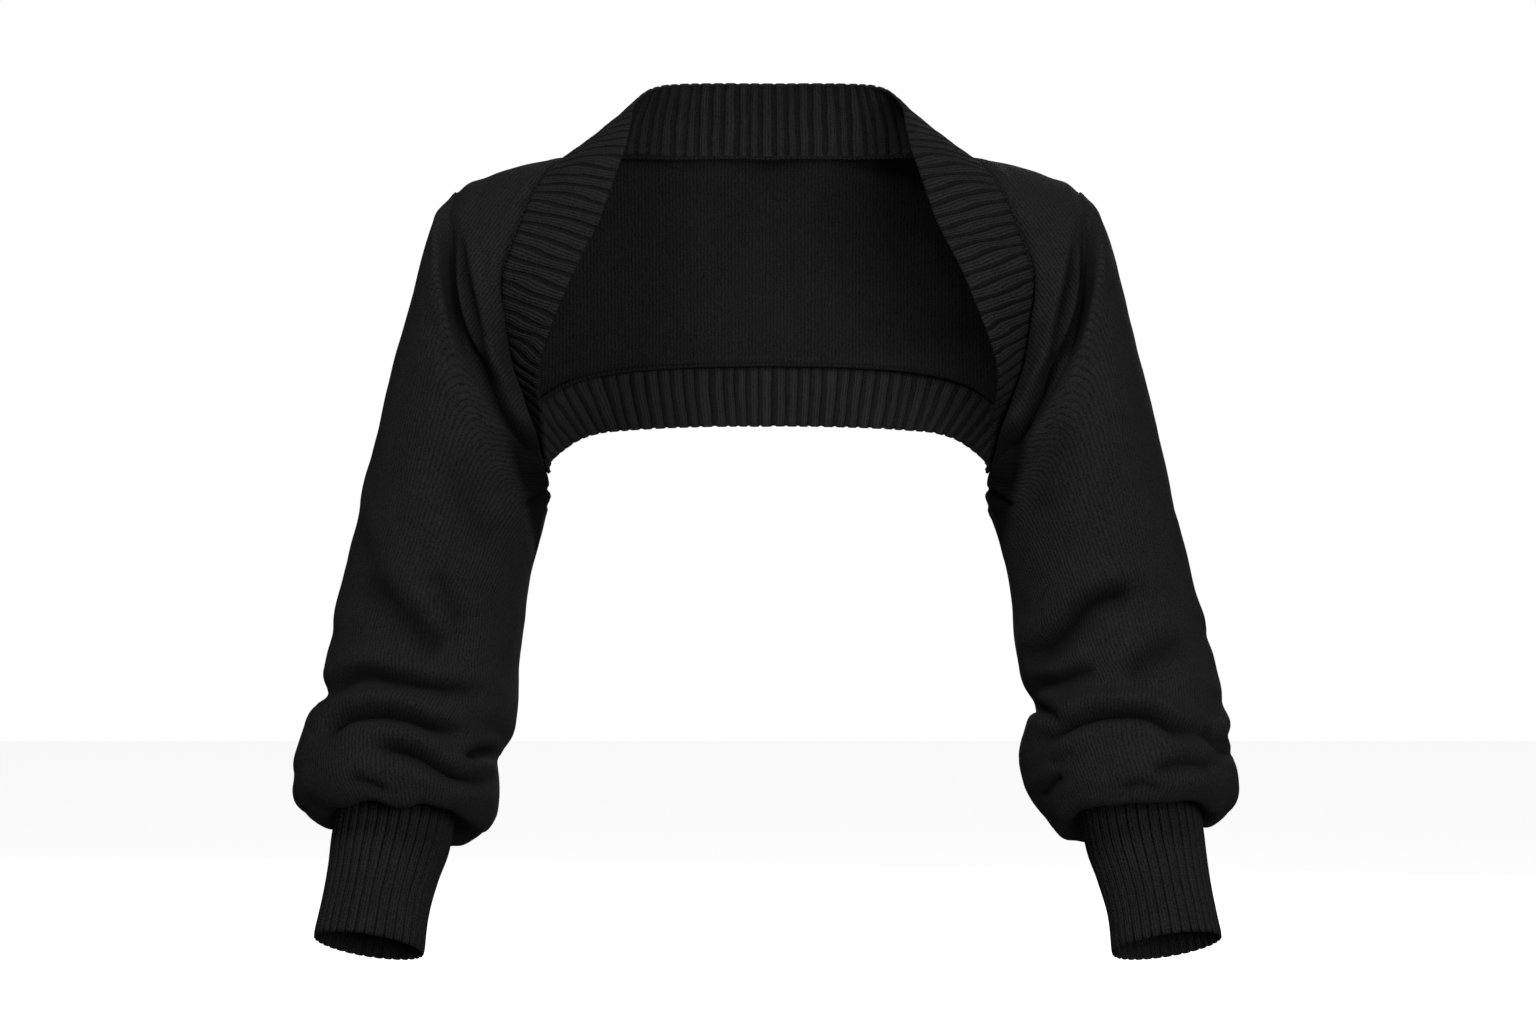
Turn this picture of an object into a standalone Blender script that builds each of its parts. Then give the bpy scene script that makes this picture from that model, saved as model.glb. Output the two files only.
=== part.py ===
"""Knitted shrug, worn shape with no wearer. Metres, +Z up, front faces -Y.

The origin is the middle of the shoulders at the base of the neck. A half is described for x > 0,
and the other half mirrors it, apart from the sleeves' folds. Every piece is a wall of cloth lofted
through sections, and neighbouring pieces share the points of the seam between them.
"""

import math

import bpy
import numpy as np

JERSEY_THICKNESS = 0.0018
RIB_WALL = 0.0018  # band and cuffs, from the inside to the bottom of a groove
RIB_HEIGHT = 0.0014  # ridge of a rib over the grooves beside it
SEAM_GAP = 0.0006

RIBS_PER_SEAM_STEP = 2
BAND_STEPS = 36  # steps of the half loop of band, from the neck to the hem
BAND_SPANS = 2  # across the band's width
BAND_ROLL = 0.003  # how far the middle of the band's width bows out
SHOULDER_STEP = 9  # the step that lies on top of the shoulder
CENTRE_BACK_STEPS = 4
COLUMNS = BAND_STEPS + CENTRE_BACK_STEPS  # round an armhole and a sleeve
BODY_SPANS = 7  # from the armhole to the band

SLEEVE_RINGS = 23
EVEN_RING = 9  # from this ring on, the columns are evenly spaced
SLEEVE_SQUARENESS = 2.25  # 2 is an ellipse, more is fuller at the corners
CUFF_RIBS = 34
CUFF_SPANS = 4
CUFF_CLEARANCE = 0.0007  # between the sleeve's gathered edge and the ribs inside it
CUFF_LEAN = math.radians(20)  # the forearm reaches forward
CUFF_CANT = math.radians(8)  # and the hand hangs away from the body


def table(columns, rows):
    """Named columns from rows of numbers."""
    return dict(zip(columns.split(), np.array(rows, dtype=float).T))


# The band from the middle of the neck to the middle of the hem
BAND = table(
    "seam_x seam_y seam_z edge_x edge_y edge_z",
    [
        (0.000, 0.086, 0.0085, 0.000, 0.068, 0.061),
        (0.058, 0.080, 0.0085, 0.050, 0.064, 0.0605),
        (0.105, 0.056, 0.009, 0.081, 0.045, 0.057),
        (0.131, 0.022, 0.005, 0.0935, 0.018, 0.042),
        (0.146, -0.006, -0.001, 0.096, -0.008, 0.026),
        (0.156, -0.030, -0.014, 0.099, -0.034, 0.006),
        (0.164, -0.046, -0.029, 0.1055, -0.050, -0.016),
        (0.174, -0.058, -0.057, 0.116, -0.063, -0.048),
        (0.182, -0.060, -0.083, 0.130, -0.070, -0.076),
        (0.1845, -0.050, -0.109, 0.1405, -0.074, -0.101),
        (0.184, -0.033, -0.134, 0.151, -0.070, -0.127),
        (0.182, -0.012, -0.156, 0.158, -0.058, -0.151),
        (0.179, 0.008, -0.171, 0.157, -0.038, -0.177),
        (0.175, 0.024, -0.177, 0.1560, -0.010, -0.208),
        (0.170, 0.040, -0.176, 0.1550, 0.020, -0.222),
        (0.164, 0.058, -0.170, 0.1535, 0.048, -0.213),
        (0.143, 0.084, -0.155, 0.130, 0.068, -0.195),
        (0.108, 0.098, -0.1455, 0.098, 0.076, -0.188),
        (0.054, 0.107, -0.1405, 0.048, 0.083, -0.1845),
        (0.000, 0.110, -0.139, 0.000, 0.086, -0.184),
    ],
)

# The middle of the back from the hem seam up to the neck seam
CENTRE_BACK = table(
    "y z",
    [
        (0.110, -0.139),
        (0.114, -0.104),
        (0.112, -0.066),
        (0.103, -0.028),
        (0.086, 0.0085),
    ],
)

# The armhole seam from the top of the shoulder down the front, under the arm and up the back
ARMHOLE = table(
    "x y z",
    [
        (0.219, 0.010, -0.024),
        (0.223, -0.026, -0.042),
        (0.221, -0.050, -0.074),
        (0.216, -0.057, -0.108),
        (0.205, -0.058, -0.147),
        (0.185, -0.053, -0.184),
        (0.1610, -0.040, -0.2125),
        (0.1565, -0.018, -0.229),
        (0.1580, 0.010, -0.2375),
        (0.170, 0.038, -0.227),
        (0.183, 0.066, -0.192),
        (0.197, 0.086, -0.150),
        (0.208, 0.092, -0.108),
        (0.217, 0.078, -0.068),
        (0.221, 0.046, -0.038),
        (0.219, 0.010, -0.024),
    ],
)
UNDERARM_ROW = 8

# Which row of the armhole each column of the body starts from, so that its lines fan out evenly
FAN = table(
    "column row",
    [
        (0, 0),
        (14, 8),
        (15.5, 9.05),
        (17, 9.7),
        (19, 10.6),
        (21, 11.5),
        (24, 12.05),
        (27, 12.5),
        (31, 13.3),
        (36, 14.3),
        (40, 15),
    ],
)

# How far the body swells out between the armhole and the band, by column round the armhole
BODY_SWELL = table(
    "column swell",
    [
        (0, 0.005),
        (4, 0.006),
        (8, 0.007),
        (10, 0.006),
        (12, -0.001),
        (14, -0.004),
        (17, -0.002),
        (20, 0.003),
        (26, 0.006),
        (32, 0.006),
        (40, 0.005),
    ],
)

# What both sleeves share, by section from the shoulder to the gathered edge on the cuff.
# bow is how far the middle of the front and back lies outside the line from top to underarm
SLEEVE_DEPTH = table(
    "centre_y half_depth lean_degrees bow",
    [
        (0.012, 0.078, 0, 0.022),
        (0.012, 0.079, 0, 0.020),
        (0.011, 0.079, 0, 0.018),
        (0.008, 0.075, 0, 0.012),
        (0.004, 0.070, 2, 0.006),
        (0.000, 0.066, 5, 0.002),
        (-0.006, 0.063, 9, 0),
        (-0.012, 0.064, 13, 0),
        (-0.017, 0.066, 15, 0),
        (-0.024, 0.070, 16, 0),
        (-0.031, 0.072, 17, 0),
        (-0.038, 0.073, 18, 0),
        (-0.045, 0.069, 18, 0),
        (-0.048, 0.057, 17, 0),
        (-0.0425, 0.0362, 20, 0),
    ],
)

# The left sleeve's outline from the front, by the same sections
LEFT_SLEEVE = table(
    "outer_x outer_z inner_x inner_z",
    [
        (0.2295, -0.039, 0.1545, -0.2445),
        (0.236, -0.054, 0.1545, -0.2480),
        (0.2455, -0.086, 0.1570, -0.2525),
        (0.261, -0.152, 0.1630, -0.266),
        (0.2785, -0.224, 0.1700, -0.290),
        (0.291, -0.280, 0.1725, -0.316),
        (0.302, -0.325, 0.1750, -0.344),
        (0.309, -0.354, 0.1800, -0.364),
        (0.312, -0.371, 0.1895, -0.381),
        (0.3165, -0.393, 0.1800, -0.398),
        (0.3175, -0.414, 0.1755, -0.414),
        (0.3215, -0.436, 0.1800, -0.434),
        (0.319, -0.448, 0.1890, -0.451),
        (0.304, -0.456, 0.1990, -0.462),
        (0.2945, -0.4345, 0.2149, -0.4455),
    ],
)

# The right sleeve's outline, by the same sections
RIGHT_SLEEVE = table(
    "outer_x outer_z inner_x inner_z",
    [
        (0.2295, -0.039, 0.1545, -0.2445),
        (0.236, -0.054, 0.1545, -0.2480),
        (0.246, -0.086, 0.1565, -0.2525),
        (0.262, -0.152, 0.1610, -0.266),
        (0.279, -0.224, 0.1675, -0.290),
        (0.292, -0.280, 0.1710, -0.316),
        (0.302, -0.325, 0.1740, -0.344),
        (0.3065, -0.354, 0.1755, -0.366),
        (0.305, -0.371, 0.1760, -0.380),
        (0.3165, -0.393, 0.1790, -0.398),
        (0.3235, -0.414, 0.1885, -0.412),
        (0.3255, -0.434, 0.1875, -0.434),
        (0.321, -0.448, 0.1890, -0.451),
        (0.304, -0.456, 0.2000, -0.462),
        (0.2945, -0.4345, 0.2149, -0.4455),
    ],
)

# The cuffs below their hidden top edge, as the ridges of the ribs
CUFF = table(
    "centre_x centre_y centre_z half_width half_depth",
    [
        (0.2592, -0.0525, -0.472, 0.0390, 0.0350),
        (0.2633, -0.0598, -0.492, 0.0365, 0.0335),
        (0.2675, -0.0674, -0.513, 0.0350, 0.0325),
        (0.2718, -0.0760, -0.541, 0.0365, 0.0340),
    ],
)

# Folds as troughs along two runs on the front (-1) or the back (1) of a sleeve
FOLD_COLUMNS = "face start_x start_z middle_x middle_z end_x end_z depth width"
LEFT_FOLDS = table(
    FOLD_COLUMNS,
    [
        (-1, 0.257, -0.302, 0.2205, -0.316, 0.185, -0.345, 0.004, 0.011),
        (-1, 0.293, -0.336, 0.268, -0.350, 0.245, -0.370, 0.005, 0.011),
        (-1, 0.187, -0.363, 0.206, -0.360, 0.225, -0.355, 0.006, 0.010),
        (-1, 0.189, -0.398, 0.245, -0.386, 0.2975, -0.401, 0.007, 0.010),
        (-1, 0.267, -0.428, 0.286, -0.425, 0.305, -0.423, 0.005, 0.009),
        (1, 0.196, -0.318, 0.232, -0.330, 0.268, -0.322, 0.004, 0.012),
        (1, 0.300, -0.352, 0.262, -0.368, 0.215, -0.364, 0.006, 0.011),
        (1, 0.192, -0.396, 0.238, -0.408, 0.290, -0.398, 0.007, 0.011),
    ],
)
RIGHT_FOLDS = table(
    FOLD_COLUMNS,
    [
        (-1, 0.286, -0.285, 0.262, -0.312, 0.233, -0.338, 0.004, 0.012),
        (-1, 0.282, -0.358, 0.245, -0.366, 0.205, -0.371, 0.006, 0.010),
        (-1, 0.296, -0.386, 0.268, -0.383, 0.219, -0.399, 0.007, 0.010),
        (-1, 0.275, -0.414, 0.226, -0.430, 0.202, -0.4305, 0.006, 0.010),
        (-1, 0.206, -0.413, 0.199, -0.413, 0.190, -0.413, 0.009, 0.008),
        (1, 0.290, -0.310, 0.252, -0.334, 0.214, -0.330, 0.004, 0.012),
        (1, 0.196, -0.360, 0.238, -0.372, 0.288, -0.362, 0.006, 0.011),
        (1, 0.300, -0.402, 0.252, -0.398, 0.200, -0.412, 0.007, 0.011),
    ],
)

BLACK = (0.012, 0.012, 0.013, 1.0)
JERSEY_ROUGHNESS = 0.88
RIB_ROUGHNESS = 0.85


def points_of(rows, prefix=""):
    """The points of a table whose columns are x, y and z with a prefix."""
    return np.stack([rows[prefix + axis] for axis in "xyz"], axis=1)


def smooth_curve(points, at):
    """Points of a smooth curve through rows of numbers, where whole values of at are the rows."""
    last = len(points) - 1
    before = np.vstack([2 * points[0] - points[1], points, 2 * points[-1] - points[-2]])
    index = np.clip(np.floor(at).astype(int), 0, last - 1)
    t = (np.asarray(at) - index)[:, None]
    p0, p1, p2, p3 = (before[index + step] for step in range(4))
    start, end = (p2 - p0) / 2, (p3 - p1) / 2
    return (
        (2 * t**3 - 3 * t**2 + 1) * p1
        + (t**3 - 2 * t**2 + t) * start
        + (3 * t**2 - 2 * t**3) * p2
        + (t**3 - t**2) * end
    )


def even_places(points, steps):
    """Places on a smooth curve through the points that are equally far apart along it."""
    at = np.linspace(0, len(points) - 1, 40 * len(points))
    fine = smooth_curve(points, at)
    travelled = np.concatenate([[0], np.cumsum(np.linalg.norm(np.diff(fine, axis=0), axis=1))])
    return np.interp(np.linspace(0, travelled[-1], steps + 1), travelled, at)


def unit(vectors):
    return vectors / np.linalg.norm(vectors, axis=-1, keepdims=True)


def grid_normals(grid, closed, facing):
    """Unit normals of a grid of rows and columns. facing is 1 or -1 and picks the outer side."""
    if closed:
        along = np.roll(grid, -1, axis=1) - np.roll(grid, 1, axis=1)
    else:
        along = np.gradient(grid, axis=1)
    return facing * unit(np.cross(along, np.gradient(grid, axis=0)))


def flat_on_plane(points, normals):
    """Turns the normals of points on the plane x = 0 into that plane, for the mirror."""
    on_plane = np.abs(points[..., 0]) < 1e-6
    normals = normals.copy()
    normals[on_plane, 0] = 0
    return unit(normals)


def wall_mesh(name, outer, inner, closed):
    """A wall between two grids. The inner grid may have fewer columns, at a whole ratio."""
    rows, columns = outer.shape[:2]
    inner_columns = inner.shape[1]
    inner_steps = inner_columns if closed else inner_columns - 1
    steps = columns if closed else columns - 1
    ratio = steps // inner_steps
    points = np.concatenate([outer.reshape(-1, 3), inner.reshape(-1, 3)])

    def out(row, column):
        return row * columns + column % columns

    def inn(row, column):
        return rows * columns + row * inner_columns + column % inner_columns

    def cell(corner, row, column):
        below, beside = row + 1, column + 1
        return [corner(row, column), corner(below, column), corner(below, beside), corner(row, beside)]

    faces = []
    for row in range(rows - 1):
        faces += [cell(out, row, column) for column in range(steps)]
        faces += [cell(inn, row, column)[::-1] for column in range(inner_steps)]
    for row in (0, rows - 1):
        for column in range(inner_steps):
            rim = [out(row, ratio * column + step) for step in range(ratio + 1)]
            rim += [inn(row, column + 1), inn(row, column)]
            if np.abs(points[rim, 0]).max() > 1e-6:
                faces.append(rim if row == 0 else rim[::-1])
    a, b, _, d = points[faces[0]]
    outward = points[out(0, 0)] - points[inn(0, 0)]
    if np.dot(np.cross(b - a, d - a), outward) < 0:
        faces = [face[::-1] for face in faces]
    mesh = bpy.data.meshes.new(name)
    mesh.from_pydata(points.tolist(), [], faces)
    mesh.update()
    return mesh


def add_piece(name, mesh, material, collection, mirrored=False):
    piece = bpy.data.objects.new(name, mesh)
    mesh.materials.append(material)
    collection.objects.link(piece)
    if mirrored:
        mirror = piece.modifiers.new("Mirror", "MIRROR")
        mirror.use_axis[0] = True
        mirror.merge_threshold = 0.0001
    return piece


def cloth_material(name, roughness):
    material = bpy.data.materials.new(name)
    material.use_nodes = True
    shader = material.node_tree.nodes["Principled BSDF"]
    shader.inputs["Base Color"].default_value = BLACK
    shader.inputs["Roughness"].default_value = roughness
    shader.inputs["Metallic"].default_value = 0.0
    return material


def band_lines():
    """The seam and the free edge of the half loop of band, at its steps, as smooth functions of place."""
    seam, edge = points_of(BAND, "seam_"), points_of(BAND, "edge_")
    places = even_places((seam + edge) / 2, BAND_STEPS)
    return smooth_curve(seam, places), smooth_curve(edge, places)


def between_steps(values, parts):
    """Rows of values with each step cut into equal parts by straight lines."""
    at = np.linspace(0, len(values) - 1, (len(values) - 1) * parts + 1)
    whole = np.arange(len(values))
    flat = values.reshape(len(values), -1)
    cut = np.stack([np.interp(at, whole, column) for column in flat.T], axis=1)
    return cut.reshape((len(at),) + values.shape[1:])


def armhole_rows():
    """The place of each column on the armhole's rows."""
    return np.interp(np.arange(COLUMNS), FAN["column"], FAN["row"])


def armhole_loop():
    return smooth_curve(points_of(ARMHOLE), armhole_rows())


def body_edge(seam):
    """The edge that the body shares with the band, and the middle of the back, by armhole column."""
    middle = np.stack([np.zeros(len(CENTRE_BACK["y"])), CENTRE_BACK["y"], CENTRE_BACK["z"]], axis=1)
    middle = smooth_curve(middle, even_places(middle, CENTRE_BACK_STEPS))
    return np.concatenate([seam[SHOULDER_STEP:], middle[1:-1], seam[:SHOULDER_STEP]])


def body_grid(armhole, edge):
    across = np.linspace(0, 1, BODY_SPANS + 1)[:, None, None]
    flat = armhole + (edge - armhole) * across
    swell = np.interp(np.arange(COLUMNS), BODY_SWELL["column"], BODY_SWELL["swell"])
    rise = np.sin(math.pi * across) * swell[None, :, None]
    grid = flat + grid_normals(flat, True, -1) * rise
    grid[-1, np.abs(edge[:, 0]) < 1e-6, 0] = 0
    return grid


def band_grid(seam, edge):
    across = np.linspace(0, 1, BAND_SPANS + 1)[:, None, None]
    flat = seam + (edge - seam) * across
    grid = flat + flat_on_plane(flat, grid_normals(flat, False, -1)) * np.sin(math.pi * across) * BAND_ROLL
    grid[:, [0, -1], 0] = 0
    return grid


def armhole_angles():
    """Angle of each column at the armhole: 0 on the outer side, half a turn at the underarm."""
    rows = armhole_rows()
    back_rows = len(ARMHOLE["x"]) - 1 - UNDERARM_ROW
    front = math.pi * rows / UNDERARM_ROW
    back = math.pi * (1 + (rows - UNDERARM_ROW) / back_rows)
    return np.where(rows < UNDERARM_ROW, front, back)


def rounded(value, squareness):
    return np.sign(value) * np.abs(value) ** (2 / squareness)


def sleeve_grid(outline, armhole):
    """Rings from the armhole down to the gathered edge, which curls in and up onto the cuff."""
    rows = np.stack(list(outline.values()) + list(SLEEVE_DEPTH.values()), axis=1)
    sections = smooth_curve(rows, np.linspace(0, len(rows) - 1, SLEEVE_RINGS))
    even_angles = np.arange(COLUMNS) * 2 * math.pi / COLUMNS
    rings = [armhole]
    for ring, section in enumerate(sections, 1):
        outer_x, outer_z, inner_x, inner_z, centre_y, half_depth, lean_degrees, bow = section
        evened = min(ring / EVEN_RING, 1)
        angles = armhole_angles() * (1 - evened) + even_angles * evened
        across = rounded(np.cos(angles), SLEEVE_SQUARENESS)
        forward = rounded(np.sin(angles), SLEEVE_SQUARENESS)
        lean = math.radians(lean_degrees)
        x = (outer_x + inner_x) / 2 + (outer_x - inner_x) / 2 * across + bow * forward**2
        y = centre_y - half_depth * math.cos(lean) * forward
        z = (outer_z + inner_z) / 2 + (outer_z - inner_z) / 2 * across + half_depth * math.sin(lean) * forward
        rings.append(np.stack([x, y, z], axis=1))
    return np.array(rings)


def distance_to_run(x, z, start, end):
    """How far points lie from a straight run, seen from the front."""
    run = np.subtract(end, start)
    t = np.clip(((x - start[0]) * run[0] + (z - start[1]) * run[1]) / run.dot(run), 0, 1)
    return np.hypot(x - start[0] - t * run[0], z - start[1] - t * run[1])


def fold_depths(grid, folds):
    """How far each point of a sleeve sinks into its folds."""
    x, y, z = np.moveaxis(grid, -1, 0)
    middle_y = y.mean(axis=1, keepdims=True)
    half_depth = np.ptp(y, axis=1)[:, None] / 2
    sunk = np.zeros(x.shape)
    for face, sx, sz, mx, mz, ex, ez, depth, width in zip(*folds.values()):
        first, second = distance_to_run(x, z, (sx, sz), (mx, mz)), distance_to_run(x, z, (mx, mz), (ex, ez))
        near = np.minimum(first, second)
        facing = np.clip(0.5 + 1.5 * face * (y - middle_y) / half_depth, 0, 1)
        sunk += depth * np.exp(-((near / width) ** 2)) * facing
    sunk[0] = sunk[-1] = 0
    return sunk


def cuff_sections(seam_row):
    """Sections of a cuff from its top edge, which fits inside the sleeve's gathered edge."""
    outer_x, outer_z, inner_x, inner_z = seam_row
    depth = SLEEVE_DEPTH
    top = (
        (outer_x + inner_x) / 2,
        depth["centre_y"][-1],
        (outer_z + inner_z) / 2,
        math.hypot(outer_x - inner_x, outer_z - inner_z) / 2 - CUFF_CLEARANCE,
        depth["half_depth"][-1] - CUFF_CLEARANCE,
    )
    rows = np.vstack([top, np.stack(list(CUFF.values()), axis=1)])
    return smooth_curve(rows, np.linspace(0, len(rows) - 1, CUFF_SPANS + 1))


def cuff_rings(sections, columns, inset):
    """Rings of a cuff. inset is how far each column lies inside the ridges."""
    angle = np.linspace(0, 2 * math.pi, columns + 1)[:-1]
    rings = []
    for centre_x, centre_y, centre_z, half_width, half_depth in sections:
        across = (half_width - inset) * np.cos(angle)
        forward = (half_depth - inset) * np.sin(angle)
        x = centre_x + across * math.cos(CUFF_CANT)
        y = centre_y - forward * math.cos(CUFF_LEAN)
        z = centre_z + across * math.sin(CUFF_CANT) + forward * math.sin(CUFF_LEAN)
        rings.append(np.stack([x, y, z], axis=1))
    return np.array(rings)


def mirrored_grid(grid):
    return grid * np.array([-1, 1, 1])


def add_band(grid, seam_normals, material, collection):
    normals = flat_on_plane(grid, grid_normals(grid, False, -1))
    normals[0] = seam_normals
    grid = grid.copy()
    grid[0] += unit(grid[1] - grid[0]) * SEAM_GAP
    grid[0, [0, -1], 0] = 0
    columns = np.moveaxis(grid, 0, 1), np.moveaxis(normals, 0, 1)
    fine, fine_normals = (np.moveaxis(between_steps(part, 2 * RIBS_PER_SEAM_STEP), 0, 1) for part in columns)
    ridge = np.where(np.arange(fine.shape[1]) % 2 == 0, RIB_HEIGHT, 0)[None, :, None]
    outer = fine + fine_normals * ridge
    inner = (fine - fine_normals * RIB_WALL)[:, ::2]
    add_piece("band", wall_mesh("band", outer, inner, False), material, collection, mirrored=True)


def add_body(grid, armhole_normals, seam_normals, seam_columns, material, collection):
    normals = flat_on_plane(grid, grid_normals(grid, True, -1))
    normals[0] = armhole_normals
    normals[-1, seam_columns] = seam_normals
    inner = grid - normals * JERSEY_THICKNESS
    add_piece("body", wall_mesh("body", grid, inner, True), material, collection, mirrored=True)


def add_sleeve(name, grid, armhole_normals, folds, side, material, collection):
    grid = grid - grid_normals(grid, True, 1) * fold_depths(grid, folds)[..., None]
    grid[0] += unit(grid[1] - grid[0]) * SEAM_GAP
    normals = grid_normals(grid, True, 1)
    normals[0] = armhole_normals
    inner = grid - normals * JERSEY_THICKNESS
    if side < 0:
        grid, inner = mirrored_grid(grid), mirrored_grid(inner)
    add_piece(name, wall_mesh(name, grid, inner, True), material, collection)


def add_cuff(name, outline, side, material, collection):
    sections = cuff_sections([column[-1] for column in outline.values()])
    inset = np.where(np.arange(2 * CUFF_RIBS) % 2 == 0, 0, RIB_HEIGHT)
    outer = cuff_rings(sections, 2 * CUFF_RIBS, inset)
    inner = cuff_rings(sections, CUFF_RIBS, RIB_HEIGHT + RIB_WALL)
    if side < 0:
        outer, inner = mirrored_grid(outer), mirrored_grid(inner)
    add_piece(name, wall_mesh(name, outer, inner, True), material, collection)


def main():
    for thing in list(bpy.data.objects):
        bpy.data.objects.remove(thing)
    collection = bpy.data.collections.new("knitted_shrug")
    bpy.context.scene.collection.children.link(collection)
    jersey = cloth_material("jersey_knit", JERSEY_ROUGHNESS)
    rib = cloth_material("rib_knit", RIB_ROUGHNESS)

    seam, edge = band_lines()
    armhole = armhole_loop()
    body = body_grid(armhole, body_edge(seam))
    band = band_grid(seam, edge)
    sleeves = {
        "left": (sleeve_grid(LEFT_SLEEVE, armhole), LEFT_SLEEVE, LEFT_FOLDS, 1),
        "right": (sleeve_grid(RIGHT_SLEEVE, armhole), RIGHT_SLEEVE, RIGHT_FOLDS, -1),
    }

    seam_columns = (np.arange(BAND_STEPS + 1) - SHOULDER_STEP) % COLUMNS
    body_normals = flat_on_plane(body, grid_normals(body, True, -1))
    band_normals = flat_on_plane(band, grid_normals(band, False, -1))
    seam_normals = unit(body_normals[-1, seam_columns] + band_normals[0])
    sleeve_normals = grid_normals(sleeves["left"][0], True, 1)
    armhole_normals = unit(body_normals[0] + sleeve_normals[0])

    add_body(body, armhole_normals, seam_normals, seam_columns, jersey, collection)
    add_band(band, seam_normals, rib, collection)
    for side_name, (grid, outline, folds, side) in sleeves.items():
        add_sleeve("sleeve_" + side_name, grid, armhole_normals, folds, side, jersey, collection)
        add_cuff("cuff_" + side_name, outline, side, rib, collection)


main()
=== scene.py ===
import math

import bpy
import numpy as np
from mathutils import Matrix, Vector, noise


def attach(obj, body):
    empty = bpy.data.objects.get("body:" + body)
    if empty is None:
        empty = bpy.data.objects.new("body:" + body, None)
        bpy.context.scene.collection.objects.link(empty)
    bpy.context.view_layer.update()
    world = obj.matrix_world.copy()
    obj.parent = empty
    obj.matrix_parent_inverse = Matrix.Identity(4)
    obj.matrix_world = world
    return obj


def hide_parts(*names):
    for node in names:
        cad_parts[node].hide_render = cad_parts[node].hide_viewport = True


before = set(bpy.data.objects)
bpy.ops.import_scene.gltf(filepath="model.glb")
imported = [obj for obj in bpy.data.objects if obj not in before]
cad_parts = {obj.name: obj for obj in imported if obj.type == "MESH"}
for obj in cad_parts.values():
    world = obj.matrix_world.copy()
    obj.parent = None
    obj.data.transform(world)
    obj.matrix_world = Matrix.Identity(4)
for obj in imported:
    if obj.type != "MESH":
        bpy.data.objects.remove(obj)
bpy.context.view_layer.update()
bpy.ops.object.select_all(action="DESELECT")

scene = bpy.context.scene
mm = 0.001

view = {
    "distance": 2.8,
    "eyeHeight": -0.246,
    "frameWidth": 1.0752,  # at the shoulders, 0.70 mm for each pixel of the photograph
}


# Sizes that the pieces share, as the solids have them, in metres

cloth = {
    "jerseyThickness": 1.8 * mm,
    "ribThickness": 1.7 * mm,
    "ribHeight": 1.4 * mm,
    "bandSteps": 36,  # steps of the half loop of band, from the neck to the hem
    "ribsPerStep": 2,
    "seamSink": 1.2 * mm,  # how deep a seam lies in its groove
    "seamWidth": 3.5 * mm,
    "allowance": 3.0 * mm,  # what a seam turns under
    "hollowShade": 0.8,  # painted shade: how much darker the colour is made at the bottom of a fold
    "shoulderStep": 9,  # the step on top of the shoulder
    "centreBackSteps": 4,
    "columns": 40,  # round an armhole and a sleeve
}

shrugTables = {
    # middle of the neck to the middle of the hem
    "band": (
        "seamX seamY seamZ edgeX edgeY edgeZ",
        [
            (0.000, 0.086, 0.0085, 0.000, 0.068, 0.061),
            (0.058, 0.080, 0.0085, 0.050, 0.064, 0.0605),
            (0.105, 0.056, 0.009, 0.080, 0.045, 0.056),
            (0.131, 0.022, 0.005, 0.0935, 0.018, 0.042),
            (0.146, -0.006, -0.001, 0.096, -0.008, 0.026),
            (0.156, -0.030, -0.014, 0.099, -0.034, 0.006),
            (0.164, -0.046, -0.029, 0.1055, -0.050, -0.016),
            (0.174, -0.058, -0.057, 0.116, -0.063, -0.048),
            (0.182, -0.060, -0.083, 0.130, -0.070, -0.076),
            (0.1845, -0.050, -0.109, 0.1405, -0.074, -0.101),
            (0.184, -0.033, -0.134, 0.151, -0.070, -0.127),
            (0.182, -0.012, -0.156, 0.158, -0.058, -0.151),
            (0.179, 0.008, -0.171, 0.157, -0.038, -0.177),
            (0.175, 0.024, -0.177, 0.1560, -0.010, -0.208),
            (0.170, 0.040, -0.176, 0.1550, 0.020, -0.219),
            (0.164, 0.058, -0.170, 0.1530, 0.048, -0.2085),
            (0.143, 0.084, -0.155, 0.130, 0.068, -0.192),
            (0.108, 0.098, -0.1455, 0.098, 0.076, -0.187),
            (0.054, 0.107, -0.1405, 0.048, 0.083, -0.1845),
            (0.000, 0.110, -0.139, 0.000, 0.086, -0.184),
        ],
    ),
    # middle of the back from the hem seam up to the neck seam
    "centreBack": (
        "x y z",
        [
            (0, 0.110, -0.139),
            (0, 0.114, -0.104),
            (0, 0.112, -0.066),
            (0, 0.103, -0.028),
            (0, 0.086, 0.0085),
        ],
    ),
    # top of the shoulder, down the front, under the arm and up the back
    "armhole": (
        "x y z",
        [
            (0.219, 0.010, -0.024),
            (0.223, -0.026, -0.042),
            (0.221, -0.050, -0.074),
            (0.216, -0.057, -0.108),
            (0.205, -0.058, -0.147),
            (0.185, -0.053, -0.184),
            (0.1585, -0.040, -0.2125),
            (0.1545, -0.018, -0.229),
            (0.1560, 0.010, -0.2375),
            (0.170, 0.038, -0.227),
            (0.183, 0.066, -0.192),
            (0.197, 0.086, -0.150),
            (0.208, 0.092, -0.108),
            (0.217, 0.078, -0.068),
            (0.221, 0.046, -0.038),
            (0.219, 0.010, -0.024),
        ],
    ),
    # which row of the armhole each column starts from
    "fan": (
        "column row",
        [
            (0, 0), (14, 8), (15.5, 9.05), (17, 9.7), (19, 10.6), (21, 11.5),
            (24, 12.05), (27, 12.5), (31, 13.3), (36, 14.3), (40, 15),
        ],
    ),
    "bodySwell": (
        "column swell",
        [
            (0, 0.005), (4, 0.006), (8, 0.007), (10, 0.006), (12, -0.001), (14, -0.004),
            (17, -0.002), (20, 0.003), (26, 0.006), (32, 0.006), (40, 0.005),
        ],
    ),
}


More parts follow.
